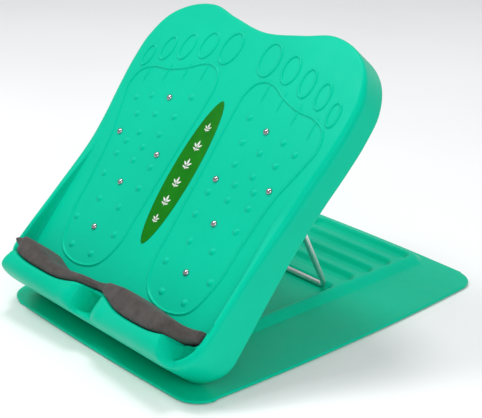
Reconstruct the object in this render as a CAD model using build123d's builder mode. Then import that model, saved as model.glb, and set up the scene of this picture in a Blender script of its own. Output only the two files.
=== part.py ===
from build123d import *
import os
from math import cos, hypot, radians, sin

os.makedirs("parts", exist_ok=True)

# Slant board for calf stretching: a tilting foot board hinged at its heel end to a flat base plate
# and propped by a wire bail that stands in one of five rows across the base.
# All sizes in mm. X is the board's width, Y runs from the heel end to the rear, Z is up, floor at 0.

# ---------------------------------------------------------------- base plate
base_width = 290.0        # straight-line width at the corners
base_length = 382.0
side_crown = 7.0          # outward bow of the long sides
end_crown = 3.5           # outward bow of the short sides
base_corner = 22.0
base_underside = 1.0      # height of the plate above the floor, on its rubber feet
flange_top = 3.6
flange_edge = 1.2         # rounding of the flange's upper edge
plateau_top = 10.5
plateau_half = 79.0
plateau_front = -140.0
plateau_rear = 186.0
plateau_corner = 14.0
plateau_draft = 40.0
floor_level = 5.0         # floor of the recess and of the notches
recess_half = 69.0
recess_front = -132.0
recess_rear = 59.3
recess_corner = 7.0
notch_first = 81.6
notch_pitch = 28.1
notch_count = 4
notch_width = 20.0
notch_length = 138.0
notch_draft = 38.0
ridge_round = 1.5
core_width = 4.0          # cored channels under the rims and ridges
core_top = 7.8

# ---------------------------------------------------------------- rubber feet
foot_radius = 11.0
foot_fit = 0.05
foot_seat = 2.3
foot_x = 118.0
foot_y = 160.0

# ---------------------------------------------------------------- foot board, in its own flat frame
tilt = 49.5               # angle of the face above the floor
board_depth = 31.0
face_thickness = 3.5
wall_thickness = 3.0
heel_edge = 3.5
heel_corner = 34.0
heel_half = 144.5
heel_round = 8.0          # rounding of the lower heel edge
side_points = (
    (143.2, 100.0), (143.4, 150.0), (146.0, 190.0), (150.0, 225.0), (152.0, 258.0), (149.5, 287.0),
)
toe_points = ((134.0, 315.0), (112.0, 330.0), (83.0, 336.5), (48.0, 329.5))
toe_dip = 322.3
edge_round = 3.0
rim_height = 18.5         # side rails at the heel, falling to nothing at the waist
rim_flat = 10.0
rim_fade = 165.0
lip_height = 38.5         # the two heel cups
lip_round = 14.0          # rounding of their outer side
lip_back = 40.0
lip_wave = (
    (0.0, 18.5), (9.0, 19.5), (20.0, 30.0), (35.0, 31.5), (70.0, 35.5),
    (100.0, 38.5), (110.0, 37.5), (118.0, 29.0), (125.0, 19.5), (160.0, 18.5),
)
lip_wall = ((0.0, 34.0), (21.5, 31.0), (42.0, 25.7), (74.0, 24.0), (101.0, 25.7), (118.0, 29.6), (137.5, 36.0))
dish_floor = 11.0         # hollows in the lip's middle and at its two ends
dish_low = 10.0
dish_high = 29.0
dish_half = 11.0
dish_inner = 112.0
dish_border = 8.0
recess_side = ((138.0, 60.0), (136.0, 100.0), (131.0, 145.0), (131.0, 176.0))
lip_core_half = 116.0
lip_core_front = 7.0
lip_core_back = 21.0
lip_core_top = 8.0
rib_depth = 14.0
rib_thickness = 2.0
rib_x = (-36.0, 36.0)
rib_y = (60.0, 105.0, 150.0, 195.0, 250.0, 290.0)
rib_gap = 0.05

# ---------------------------------------------------------------- raised pattern on the face
line_height = 0.8
line_width = 1.3
sole_points = (
    (65.0, 46.5), (94.0, 54.0), (107.0, 82.0), (112.0, 130.0), (119.0, 180.0), (128.0, 207.0), (133.5, 235.0),
    (128.0, 248.0), (112.0, 256.0), (92.0, 258.0), (66.0, 266.0), (51.0, 273.5), (40.0, 275.5), (28.0, 271.0),
    (20.0, 256.0), (19.5, 238.0), (22.0, 180.0), (24.5, 110.0), (26.5, 78.0), (39.0, 55.0),
)
toes = (
    (27.0, 296.5, 11.5, 17.5),
    (57.5, 293.0, 9.3, 14.6),
    (84.0, 285.5, 7.8, 14.6),
    (108.5, 278.0, 7.2, 13.4),
    (130.0, 265.0, 6.0, 11.8),
)
toe_strokes = ((43.5, 266.0), (67.0, 262.0), (91.0, 254.5), (116.5, 247.5))
stroke_length = 23.0
bump_rows = (
    (60.5, (54.0, 85.0)), (86.5, (39.0, 100.0)), (112.0, (53.0, 84.0)), (136.5, (42.0, 97.0)),
    (159.5, (42.5, 69.0, 96.0)), (175.0, (67.0, 92.5)), (187.5, (82.0,)), (192.5, (54.5,)),
    (204.0, (99.5,)), (210.0, (75.0,)), (214.0, (49.0,)), (219.5, (113.0,)), (226.5, (94.0,)), (238.0, (41.5,)),
)
bump_radius = 4.6
bump_height = 1.7

# ---------------------------------------------------------------- massage beads
beads = ((69.0, 85.0), (69.0, 135.0), (43.0, 173.0), (108.0, 181.0), (69.0, 230.5))
bead_radius = 3.2
bead_fit = 0.05
bead_seat = 2.3
bead_seat_play = 0.1
bead_rise = 2.4
bead_dome = 2.3            # rounding of the bead's exposed end

# ---------------------------------------------------------------- leaf label
leaf_low = 89.5
leaf_high = 245.5
leaf_half = 15.0
leaf_seat = 0.4
leaf_gap = 0.1
leaf_thickness = 0.6
leaf_play = 0.2

# ---------------------------------------------------------------- heel pad
pad_front = ((0.0, 46.0), (35.0, 42.0), (70.0, 39.0), (105.0, 42.0), (137.2, 45.5))
pad_gap = 0.4
pad_base = 0.3
pad_half = 137.0
pad_wave = (
    (0.0, 19.5), (10.0, 20.5), (26.0, 28.5), (45.0, 31.0), (76.0, 33.5),
    (100.0, 36.0), (112.0, 33.0), (124.0, 24.0), (137.0, 21.0), (160.0, 20.0),
)

# ---------------------------------------------------------------- heel hinge
hinge_y = -167.0
hinge_z = 18.5
hinge_v = 15.0            # hinge axis in the board's own frame
hinge_w = -18.0
rod_radius = 2.5
rod_fit = 0.05
rod_half = 114.0
hub_radius = 6.5
lug_inner = 96.0
lug_width = 8.0
lug_arm_low = 5.0
lug_stem_front = 15.6
lug_stem_rear = 27.0
cheek_inner = 90.0
cheek_outer = 105.5
cheek_width = 4.5
cap_radius = 4.6
cap_start = 110.4
cap_length = 5.6
cap_bore = 3.8

# ---------------------------------------------------------------- wire bail
wire_radius = 2.75
bail_half = 59.0
bail_bend = 6.5
bail_stub = 82.0
pivot_v = 224.0
pivot_w = -20.0
crossbar_y = 53.6
crossbar_gap = 0.15
wire_fit = 0.08
block_inner = 67.0
block_width = 13.0
block_half = 13.0
clip_thickness = 6.5
clip_gap = 0.1
screw_offset = 8.5
screw_radius = 1.5
screw_fit = 0.05
screw_length = 14.0
screw_head_radius = 2.8
screw_head_height = 1.8
screw_seat = 0.05

# ---------------------------------------------------------------- derived frames
reach = 220.0
origin_shift = 8.6
angle = radians(tilt)
face_y = hinge_y - hinge_v * cos(angle) + hinge_w * sin(angle)
face_z = hinge_z - hinge_v * sin(angle) - hinge_w * cos(angle)
face_plane = Plane(origin=(0, face_y, face_z), x_dir=(1, 0, 0), z_dir=(0, -sin(angle), cos(angle)))
board_side = Plane(origin=(0, 0, 0), x_dir=(0, 1, 0), z_dir=(1, 0, 0))
pivot_y = face_y + pivot_v * cos(angle) - pivot_w * sin(angle)
pivot_z = face_z + pivot_v * sin(angle) + pivot_w * cos(angle)
crossbar_z = floor_level + wire_radius + crossbar_gap
leg_length = hypot(crossbar_y - pivot_y, crossbar_z - pivot_z)
leg_y = (crossbar_y - pivot_y) / leg_length
leg_z = (crossbar_z - pivot_z) / leg_length
bail_plane = Plane(origin=(0, pivot_y, pivot_z), x_dir=(1, 0, 0), z_dir=(0, -leg_z, leg_y))


def on_board(piece):
    """A piece built in the board's flat frame, moved to the tilted board."""
    return face_plane.location * piece


def mirrored(points):
    """The points of a half outline from +x, continued on the -x side back to the start."""
    return [(-x, y) for x, y in reversed(points)]


def save(piece, name):
    """Export a piece under its name, with the origin under the middle of the whole board."""
    piece = Pos(0, origin_shift, 0) * piece
    piece.label = name
    export_step(piece, f"parts/{name}.step")


# ================================================================ base plate
with BuildSketch() as base_outline:
    with BuildLine():
        half_x = base_width / 2
        half_y = base_length / 2
        ThreePointArc((-half_x, -half_y), (0, -half_y - end_crown), (half_x, -half_y))
        ThreePointArc((half_x, -half_y), (half_x + side_crown, 0), (half_x, half_y))
        ThreePointArc((half_x, half_y), (0, half_y + end_crown), (-half_x, half_y))
        ThreePointArc((-half_x, half_y), (-half_x - side_crown, 0), (-half_x, -half_y))
    make_face()
    fillet(base_outline.vertices(), base_corner)

with BuildPart() as base_plate:
    with BuildSketch(Plane.XY.offset(base_underside)):
        add(base_outline.sketch)
    extrude(amount=flange_top - base_underside)
    fillet(base_plate.faces().sort_by(Axis.Z)[-1].edges(), flange_edge)
    with BuildSketch(Plane.XY.offset(flange_top)):
        with Locations((0, (plateau_front + plateau_rear) / 2)):
            RectangleRounded(2 * plateau_half, plateau_rear - plateau_front, plateau_corner)
    extrude(amount=plateau_top - flange_top, taper=plateau_draft)
    with BuildSketch(Plane.XY.offset(plateau_top)):
        with Locations((0, (recess_front + recess_rear) / 2)):
            RectangleRounded(2 * recess_half, recess_rear - recess_front, recess_corner)
    extrude(amount=floor_level - plateau_top, taper=notch_draft, mode=Mode.SUBTRACT)
    with BuildSketch(Plane.XY.offset(plateau_top)):
        for row in range(notch_count):
            with Locations((0, notch_first + row * notch_pitch)):
                SlotOverall(notch_length, notch_width)
    extrude(amount=floor_level - plateau_top, taper=notch_draft, mode=Mode.SUBTRACT)
    crest = base_plate.faces().filter_by(Axis.Z).sort_by(Axis.Z)[-1]
    fillet(crest.edges(), ridge_round)
    with BuildSketch(Plane.XY.offset(base_underside)):
        for row in range(notch_count):
            with Locations((0, notch_first + (row - 0.5) * notch_pitch)):
                SlotOverall(notch_length - 2 * notch_width, core_width)
        for side in (-1, 1):
            with Locations((side * (recess_half + core_width / 2), (recess_front + recess_rear) / 2)):
                SlotOverall(recess_rear - recess_front, core_width, rotation=90)
    extrude(amount=core_top - base_underside, mode=Mode.SUBTRACT)
    with BuildSketch(Plane.XY.offset(base_underside)):
        with GridLocations(2 * foot_x, 2 * foot_y, 2, 2):
            Circle(foot_radius + foot_fit)
    extrude(amount=foot_seat - base_underside, mode=Mode.SUBTRACT)
    for side in (-1, 1):
        lug_x = lug_inner if side > 0 else -lug_inner - lug_width
        with BuildSketch(Plane.YZ.offset(lug_x)):
            with Locations((hinge_y, hinge_z)):
                Circle(hub_radius)
            with BuildLine():
                Polyline(
                    (hinge_y, hinge_z + hub_radius),
                    (hinge_y + lug_stem_front, hinge_z + hub_radius),
                    (hinge_y + lug_stem_rear, hinge_z - hub_radius / 2),
                    (hinge_y + lug_stem_rear, base_underside + foot_fit),
                    (hinge_y + lug_stem_front, base_underside + foot_fit),
                    (hinge_y + lug_stem_front, hinge_z - lug_arm_low),
                    (hinge_y, hinge_z - lug_arm_low),
                    close=True,
                )
            make_face()
            with Locations((hinge_y, hinge_z)):
                Circle(rod_radius + rod_fit, mode=Mode.SUBTRACT)
        extrude(amount=lug_width)
save(base_plate.part, "base_plate")

# ================================================================ rubber feet
for name, x, y in (
    ("foot_front_left", -foot_x, -foot_y),
    ("foot_front_right", foot_x, -foot_y),
    ("foot_rear_left", -foot_x, foot_y),
    ("foot_rear_right", foot_x, foot_y),
):
    with BuildPart() as rubber_foot:
        with BuildSketch(Plane.XY):
            with Locations((x, y)):
                Circle(foot_radius)
        extrude(amount=foot_seat - foot_fit)
        fillet(rubber_foot.faces().sort_by(Axis.Z)[0].edges(), foot_seat / 4)
    save(rubber_foot.part, name)

# ================================================================ foot board
side_curve = [(heel_half, heel_edge + heel_corner)] + list(side_points) + list(toe_points) + [(0.0, toe_dip)]


def inset(points, distance, closed=False):
    """The points of a counter-clockwise run, each moved inward square to its neighbours."""
    last = len(points) - 1
    moved = []
    for i, (x, y) in enumerate(points):
        before = points[i - 1] if closed else points[max(i - 1, 0)]
        after = points[(i + 1) % (last + 1)] if closed else points[min(i + 1, last)]
        run = hypot(after[0] - before[0], after[1] - before[1])
        moved.append((x - (after[1] - before[1]) / run * distance, y + (after[0] - before[0]) / run * distance))
    return moved


def board_shape(inward):
    """Plan outline of the foot board, moved inward by a distance."""
    radius = heel_corner - inward
    low = heel_edge + inward
    start = heel_half - heel_corner
    arc_x = start + radius * sin(radians(45))
    arc_y = low + radius * (1 - cos(radians(45)))
    middle = inset(side_curve, inward)[1:-1]
    curve = [(heel_half - inward, heel_edge + heel_corner)] + middle + [(0.0, toe_dip - inward)]
    with BuildSketch() as shape:
        with BuildLine():
            Line((-start, low), (start, low))
            ThreePointArc((start, low), (arc_x, arc_y), curve[0])
            Spline(curve, tangents=((0, 1), (-1, 0)))
            Spline(mirrored(curve), tangents=((-1, 0), (0, -1)))
            ThreePointArc(mirrored(curve)[-1], (-arc_x, arc_y), (-start, low))
        make_face()
    return shape.sketch


board_outline = board_shape(0)
cavity_outline = board_shape(wall_thickness)

with BuildSketch() as recess_outline:
    with BuildLine():
        Spline(mirrored(lip_wall)[:-1] + list(lip_wall))
        Spline([lip_wall[-1]] + list(recess_side))
        Line(recess_side[-1], (-recess_side[-1][0], recess_side[-1][1]))
        Spline(mirrored(recess_side) + [(-lip_wall[-1][0], lip_wall[-1][1])])
    make_face()

with BuildPart() as heel_lip:
    with BuildSketch(Plane.XY):
        add(board_outline)
        with Locations((0, lip_back + reach)):
            Rectangle(2 * reach, 2 * reach, mode=Mode.SUBTRACT)
    extrude(amount=lip_height)
    with BuildSketch(Plane.XZ.offset(-reach)):
        with BuildLine():
            wave = Spline(mirrored(lip_wave)[:-1] + list(lip_wave))
            Polyline(wave @ 1, (lip_wave[-1][0], -1), (-lip_wave[-1][0], -1), wave @ 0)
        make_face()
    extrude(amount=2 * reach, mode=Mode.INTERSECT)
    with BuildSketch(board_side.offset(-reach)):
        with Locations((heel_edge, lip_height)):
            Rectangle(2 * lip_round, 2 * lip_round)
        with Locations((heel_edge + lip_round, lip_height - lip_round)):
            Rectangle(4 * lip_round, 2 * lip_round, align=(Align.CENTER, Align.MAX), mode=Mode.SUBTRACT)
            Rectangle(2 * lip_round, 4 * lip_round, align=(Align.MIN, Align.CENTER), mode=Mode.SUBTRACT)
            Circle(lip_round, mode=Mode.SUBTRACT)
    extrude(amount=2 * reach, mode=Mode.SUBTRACT)

with BuildPart() as foot_board:
    with BuildSketch(Plane.XY.offset(-face_thickness)):
        add(board_outline)
    extrude(amount=face_thickness + rim_height)
    with BuildSketch(board_side.offset(-reach)):
        with BuildLine():
            Polyline(
                (rim_flat, rim_height),
                (rim_fade, 0),
                (2 * reach, 0),
                (2 * reach, reach),
                (-reach, reach),
                (-reach, rim_height),
                close=True,
            )
        make_face()
    extrude(amount=2 * reach, mode=Mode.SUBTRACT)
    top_faces = foot_board.faces().filter_by(lambda face: face.normal_at().Z > 0.9)
    fillet(top_faces.edges().filter_by(lambda edge: edge.geom_type != GeomType.LINE), edge_round)
    add(heel_lip.part)
    with BuildSketch(Plane.XY):
        add(recess_outline.sketch)
    extrude(amount=2 * lip_height, mode=Mode.SUBTRACT)
    with BuildSketch(Plane.XY.offset(-face_thickness - 1)):
        with Locations((0, (lip_core_front + lip_core_back) / 2)):
            Rectangle(2 * lip_core_half, lip_core_back - lip_core_front)
    extrude(amount=lip_core_top + face_thickness + 1, mode=Mode.SUBTRACT)
    with BuildSketch(Plane.XY.offset(dish_floor)):
        with Locations((0, (dish_low + dish_high) / 2)):
            RectangleRounded(2 * dish_half, dish_high - dish_low, dish_half / 2)
        for side in (-1, 1):
            with Locations((side * (dish_inner + reach / 2), (dish_low + dish_high) / 2)):
                Rectangle(reach, dish_high - dish_low)
        add(board_shape(dish_border), mode=Mode.INTERSECT)
    extrude(amount=lip_height, mode=Mode.SUBTRACT)
    with BuildSketch(Plane.XY.offset(-bead_seat)):
        for side in (-1, 1):
            with Locations([(side * x, y) for x, y in beads]):
                Circle(bead_radius + bead_fit)
    extrude(amount=bead_seat + 2 * bead_rise, mode=Mode.SUBTRACT)
    with BuildSketch(Plane.XY.offset(-leaf_seat)):
        with BuildLine():
            leaf_mid = (leaf_low + leaf_high) / 2
            ThreePointArc((0, leaf_low), (leaf_half, leaf_mid), (0, leaf_high))
            ThreePointArc((0, leaf_high), (-leaf_half, leaf_mid), (0, leaf_low))
        make_face()
    extrude(amount=2 * leaf_seat, mode=Mode.SUBTRACT)
save(on_board(foot_board.part), "foot_board")

# The board's skirt, ribs, bail blocks, hinge cheeks and raised pattern are one moulding with its face,
# kept as solids of their own that meet it face to face.
with BuildPart() as board_skirt:
    with BuildSketch(Plane.XY.offset(-board_depth)):
        add(board_outline)
        add(cavity_outline, mode=Mode.SUBTRACT)
    extrude(amount=board_depth - face_thickness)
    with BuildSketch(board_side.offset(-reach)):
        with BuildLine():
            Polyline(
                (heel_edge - 1, -board_depth - 1),
                (heel_edge + heel_round, -board_depth - 1),
                (heel_edge + heel_round, -board_depth),
                (heel_edge + heel_round, -board_depth + heel_round),
                (heel_edge, -board_depth + heel_round),
                (heel_edge - 1, -board_depth + heel_round),
                close=True,
            )
        make_face()
        with Locations((heel_edge + heel_round, -board_depth + heel_round)):
            Circle(heel_round, mode=Mode.SUBTRACT)
    extrude(amount=2 * reach, mode=Mode.SUBTRACT)
save(on_board(board_skirt.part), "board_skirt")

rib_stops = (lip_core_back + rib_gap,) + rib_y + (reach * 2,)
with BuildPart() as board_ribs:
    with BuildSketch(Plane.XY.offset(-rib_depth)):
        for y in rib_y:
            with Locations((0, y)):
                Rectangle(2 * reach, rib_thickness)
        for x in rib_x:
            for low, high in zip(rib_stops, rib_stops[1:]):
                with Locations((x, (low + high) / 2)):
                    Rectangle(rib_thickness, high - low - rib_thickness - 2 * rib_gap)
        add(board_shape(wall_thickness + rib_gap), mode=Mode.INTERSECT)
    extrude(amount=rib_depth - face_thickness)
save(on_board(board_ribs.part), "board_ribs")

bore_half = block_inner + block_width + 1
with BuildPart() as bail_blocks:
    with BuildSketch(Plane.XY.offset(pivot_w + clip_gap / 2)):
        for side in (-1, 1):
            with Locations((side * (block_inner + block_width / 2), pivot_v)):
                Rectangle(block_width, 2 * block_half)
    extrude(amount=-pivot_w - clip_gap / 2 - face_thickness)
    with BuildSketch(board_side.offset(-bore_half)):
        with Locations((pivot_v, pivot_w)):
            Circle(wire_radius + wire_fit)
    extrude(amount=2 * bore_half, mode=Mode.SUBTRACT)
    with BuildSketch(Plane.XY.offset(pivot_w - 1)):
        for side in (-1, 1):
            for shift in (-screw_offset, screw_offset):
                with Locations((side * (block_inner + block_width / 2), pivot_v + shift)):
                    Circle(screw_radius + screw_fit)
    extrude(amount=screw_length - clip_thickness + 2, mode=Mode.SUBTRACT)
save(on_board(bail_blocks.part), "bail_blocks")

with BuildPart() as hinge_cheeks:
    for start in (-cheek_outer - cheek_width, -cheek_inner - cheek_width, cheek_inner, cheek_outer):
        with BuildSketch(board_side.offset(start)):
            with BuildLine():
                Polyline(
                    (heel_edge + wall_thickness, -face_thickness),
                    (lip_core_back + 5, -face_thickness),
                    (hinge_v + hub_radius, hinge_w),
                    (hinge_v - hub_radius, hinge_w),
                    (heel_edge + wall_thickness, hinge_w + 4),
                    close=True,
                )
            make_face()
            with Locations((hinge_v, hinge_w)):
                Circle(hub_radius)
                Circle(rod_radius + rod_fit, mode=Mode.SUBTRACT)
        extrude(amount=cheek_width)
save(on_board(hinge_cheeks.part), "hinge_cheeks")

for side, hand in ((-1, "left"), (1, "right")):
    with BuildPart() as foot_outline:
        with BuildSketch(Plane.XY):
            for inward, mode in ((0, Mode.ADD), (line_width, Mode.SUBTRACT)):
                with BuildLine():
                    Spline([(side * x, y) for x, y in inset(sole_points, inward, closed=True)], periodic=True)
                make_face(mode=mode)
            for x, y, rx, ry in toes:
                with Locations((side * x, y)):
                    Ellipse(rx, ry)
                    Ellipse(rx - line_width, ry - line_width, mode=Mode.SUBTRACT)
            for x, y in toe_strokes:
                with Locations((side * x, y)):
                    SlotOverall(stroke_length, line_width, rotation=90)
        extrude(amount=line_height)
    save(on_board(foot_outline.part), f"foot_outline_{hand}")

    with BuildPart() as bumps:
        for y, row in bump_rows:
            for x in row:
                with Locations((side * x, y, bump_height - bump_radius)):
                    Sphere(bump_radius)
        with BuildSketch(Plane.XY):
            Rectangle(4 * reach, 4 * reach)
        extrude(amount=-2 * bump_radius, mode=Mode.SUBTRACT)
    save(on_board(bumps.part), f"bumps_{hand}")

# ================================================================ heel pad
pad_back = [(x, y + pad_gap) for x, y in lip_wall[:-1]] + [(pad_half, lip_wall[-1][1] + pad_gap)]
pad_edge = list(pad_front[:-1]) + [(pad_half, pad_front[-1][1])]

with BuildPart() as heel_pad:
    with BuildSketch(Plane.XY.offset(pad_base)):
        with BuildLine():
            Spline(mirrored(pad_back)[:-1] + pad_back)
            Line(pad_back[-1], (pad_half, pad_front[-1][1]))
            Spline(mirrored(pad_edge)[:-1] + pad_edge)
            Line((-pad_half, pad_front[-1][1]), (-pad_half, pad_back[-1][1]))
        make_face()
    extrude(amount=lip_height)
    with BuildSketch(Plane.XZ.offset(-reach)):
        with BuildLine():
            wave = Spline(mirrored(pad_wave)[:-1] + list(pad_wave))
            Polyline(wave @ 1, (pad_wave[-1][0], -1), (-pad_wave[-1][0], -1), wave @ 0)
        make_face()
    extrude(amount=2 * reach, mode=Mode.INTERSECT)
save(on_board(heel_pad.part), "heel_pad")

# ================================================================ leaf label
with BuildPart() as leaf_label:
    with BuildSketch(Plane.XY.offset(leaf_gap - leaf_seat)):
        with BuildLine():
            low_tip = (0, leaf_low + 3 * leaf_play)
            high_tip = (0, leaf_high - 3 * leaf_play)
            ThreePointArc(low_tip, (leaf_half - leaf_play, leaf_mid), high_tip)
            ThreePointArc(high_tip, (leaf_play - leaf_half, leaf_mid), low_tip)
        make_face()
    extrude(amount=leaf_thickness)
save(on_board(leaf_label.part), "leaf_label")

# ================================================================ massage beads
for side, hand in ((-1, "left"), (1, "right")):
    for number, (x, y) in enumerate(beads, start=1):
        with BuildPart() as bead:
            with BuildSketch(Plane.XY.offset(bead_seat_play - bead_seat)):
                with Locations((side * x, y)):
                    Circle(bead_radius)
            extrude(amount=bead_seat - bead_seat_play + bead_rise)
            fillet(bead.faces().sort_by(Axis.Z)[-1].edges(), bead_dome)
        save(on_board(bead.part), f"bead_{hand}_{number}")

# ================================================================ heel hinge
with BuildPart() as hinge_rod:
    with BuildSketch(Plane.YZ.offset(-rod_half)):
        with Locations((hinge_y, hinge_z)):
            Circle(rod_radius)
    extrude(amount=2 * rod_half)
    chamfer(hinge_rod.edges().filter_by(GeomType.CIRCLE), rod_radius / 6)
save(hinge_rod.part, "hinge_rod")

for side, hand in ((-1, "left"), (1, "right")):
    with BuildPart() as rod_cap:
        with BuildSketch(Plane.YZ.offset(side * cap_start)):
            with Locations((hinge_y, hinge_z)):
                Circle(cap_radius)
        extrude(amount=side * cap_length)
        fillet(rod_cap.edges().filter_by(GeomType.CIRCLE).sort_by(Axis.X)[0 if side < 0 else -1], cap_radius / 4)
        with BuildSketch(Plane.YZ.offset(side * cap_start)):
            with Locations((hinge_y, hinge_z)):
                Circle(rod_radius + rod_fit)
        extrude(amount=side * cap_bore, mode=Mode.SUBTRACT)
    save(rod_cap.part, f"rod_cap_{hand}")

# ================================================================ wire bail
with BuildPart() as support_bail:
    with BuildLine(bail_plane) as bail_path:
        FilletPolyline(
            (-bail_stub, 0),
            (-bail_half, 0),
            (-bail_half, leg_length),
            (bail_half, leg_length),
            (bail_half, 0),
            (bail_stub, 0),
            radius=bail_bend,
        )
    with BuildSketch(Plane(origin=bail_path.line @ 0, z_dir=bail_path.line % 0)):
        Circle(wire_radius)
    sweep()
save(support_bail.part, "support_bail")

for side, hand in ((-1, "left"), (1, "right")):
    with BuildPart() as bail_clip:
        with BuildSketch(Plane.XY.offset(pivot_w - clip_gap / 2 - clip_thickness)):
            with Locations((side * (block_inner + block_width / 2), pivot_v)):
                RectangleRounded(block_width, 2 * block_half, block_width / 6)
        extrude(amount=clip_thickness)
        fillet(bail_clip.faces().sort_by(Axis.Z)[0].edges(), clip_thickness / 8)
        with BuildSketch(board_side.offset(-bore_half)):
            with Locations((pivot_v, pivot_w)):
                Circle(wire_radius + wire_fit)
        extrude(amount=2 * bore_half, mode=Mode.SUBTRACT)
        with BuildSketch(Plane.XY.offset(pivot_w - 2 * clip_thickness)):
            for shift in (-screw_offset, screw_offset):
                with Locations((side * (block_inner + block_width / 2), pivot_v + shift)):
                    Circle(screw_radius + screw_fit)
        extrude(amount=3 * clip_thickness, mode=Mode.SUBTRACT)
    save(on_board(bail_clip.part), f"bail_clip_{hand}")

screw_base = pivot_w - clip_gap / 2 - clip_thickness - screw_seat
with BuildPart() as clip_screws:
    for side in (-1, 1):
        for shift in (-screw_offset, screw_offset):
            with BuildSketch(Plane.XY.offset(screw_base)):
                with Locations((side * (block_inner + block_width / 2), pivot_v + shift)):
                    Circle(screw_radius)
            extrude(amount=screw_length)
            with BuildSketch(Plane.XY.offset(screw_base)):
                with Locations((side * (block_inner + block_width / 2), pivot_v + shift)):
                    Circle(screw_head_radius)
            extrude(amount=-screw_head_height)
            with BuildSketch(Plane.XY.offset(screw_base - screw_head_height)):
                with Locations((side * (block_inner + block_width / 2), pivot_v + shift)):
                    Rectangle(2 * screw_radius, screw_radius / 2)
                    Rectangle(screw_radius / 2, 2 * screw_radius)
            extrude(amount=screw_head_height / 2, mode=Mode.SUBTRACT)
save(on_board(clip_screws.part), "clip_screws")
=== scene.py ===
import math

import bpy
import numpy as np
from mathutils import Matrix, Vector
from mathutils.geometry import delaunay_2d_cdt

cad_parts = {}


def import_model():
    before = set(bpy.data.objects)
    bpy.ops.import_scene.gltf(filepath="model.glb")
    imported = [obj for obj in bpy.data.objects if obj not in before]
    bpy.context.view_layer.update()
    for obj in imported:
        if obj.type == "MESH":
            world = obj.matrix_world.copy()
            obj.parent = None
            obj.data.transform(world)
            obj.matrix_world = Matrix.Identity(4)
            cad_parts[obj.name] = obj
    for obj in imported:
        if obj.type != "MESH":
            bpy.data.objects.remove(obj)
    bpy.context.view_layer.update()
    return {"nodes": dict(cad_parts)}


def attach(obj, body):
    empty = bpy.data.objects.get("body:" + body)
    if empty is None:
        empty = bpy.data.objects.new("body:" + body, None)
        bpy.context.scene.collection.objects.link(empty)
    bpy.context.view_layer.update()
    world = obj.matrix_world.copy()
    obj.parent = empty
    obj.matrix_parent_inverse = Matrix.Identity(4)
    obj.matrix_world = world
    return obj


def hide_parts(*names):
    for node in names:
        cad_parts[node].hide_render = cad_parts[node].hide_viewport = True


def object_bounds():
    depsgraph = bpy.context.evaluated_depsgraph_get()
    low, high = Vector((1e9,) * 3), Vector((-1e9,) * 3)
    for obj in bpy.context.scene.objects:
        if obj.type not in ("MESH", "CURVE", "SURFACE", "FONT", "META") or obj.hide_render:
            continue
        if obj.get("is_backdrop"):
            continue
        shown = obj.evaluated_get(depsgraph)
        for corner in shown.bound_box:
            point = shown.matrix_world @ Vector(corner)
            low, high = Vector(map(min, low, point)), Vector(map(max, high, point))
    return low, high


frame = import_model()

MM = 0.001
SHIFT = 8.6                    # the record's origin lies this far behind the base's own centre, mm

# ------------------------------------------------------------------ dimensions shared with the solids (mm)
TILT = math.radians(49.5)
HINGE = (-167.0, 18.5)
HINGE_IN_BOARD = (15.0, -18.0)
DEPTH = 31.0
FACE_Y = HINGE[0] - HINGE_IN_BOARD[0] * math.cos(TILT) + HINGE_IN_BOARD[1] * math.sin(TILT)
FACE_Z = HINGE[1] - HINGE_IN_BOARD[0] * math.sin(TILT) - HINGE_IN_BOARD[1] * math.cos(TILT)
PIVOT = (224.0, -20.0)
HEEL_EDGE, HEEL_CORNER, HEEL_HALF = 3.5, 34.0, 144.5
TOE_DIP = 322.3
SIDE = [(144.5, 37.5), (143.2, 100.0), (143.4, 150.0), (146.0, 190.0), (150.0, 225.0), (152.0, 258.0),
        (149.5, 287.0), (134.0, 315.0), (112.0, 330.0), (83.0, 336.5), (48.0, 329.5), (0.0, TOE_DIP)]
LIP_WALL = [(0.0, 34.0), (21.5, 31.0), (42.0, 25.7), (74.0, 24.0), (101.0, 25.7), (118.0, 29.6),
            (137.5, 36.0)]
PAD_FRONT = [(-137.2, 41.5), (-126.0, 44.0), (-99.0, 45.0), (-88.0, 43.8), (-79.0, 41.0), (-69.0, 37.8),
             (-58.0, 36.2), (-46.0, 36.2), (-34.0, 37.6), (-20.0, 39.6), (0.0, 42.0), (10.0, 44.5),
             (27.0, 46.0), (43.0, 47.2), (60.0, 46.2), (76.0, 44.8), (93.0, 43.4), (112.0, 42.8),
             (124.0, 43.8), (137.2, 46.5)]
LIP_WAVE = [(0.0, 18.5), (9.0, 18.6), (12.5, 21.5), (16.5, 28.0), (21.0, 30.6), (35.0, 31.8), (50.0, 33.3),
            (72.0, 35.6), (98.0, 38.2), (112.0, 38.4), (160.0, 38.4)]
PAD_WAVE = [(0.0, 19.5), (8.0, 20.5), (15.0, 25.5), (26.0, 28.5), (45.0, 31.0), (76.0, 33.5), (100.0, 36.0),
            (111.0, 34.0), (118.0, 27.0), (125.0, 22.0), (137.0, 21.0), (160.0, 20.0)]
SOLE = [(65.0, 46.5), (94.0, 54.0), (107.0, 82.0), (112.0, 130.0), (119.0, 180.0), (128.0, 207.0),
        (133.5, 235.0), (128.0, 248.0), (112.0, 256.0), (92.0, 258.0), (66.0, 266.0), (51.0, 273.5),
        (40.0, 275.5), (28.0, 271.0), (20.0, 256.0), (19.5, 238.0), (22.0, 180.0), (24.5, 110.0),
        (26.5, 78.0), (39.0, 55.0)]
TOES = [(27.0, 296.5, 11.5, 17.5), (57.5, 293.0, 9.3, 14.6), (84.0, 285.5, 7.8, 14.6),
        (108.5, 278.0, 7.2, 13.4), (130.0, 265.0, 6.0, 11.8)]
STROKES = [(43.5, 266.0), (67.0, 262.0), (91.0, 254.5), (116.5, 247.5)]
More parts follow.
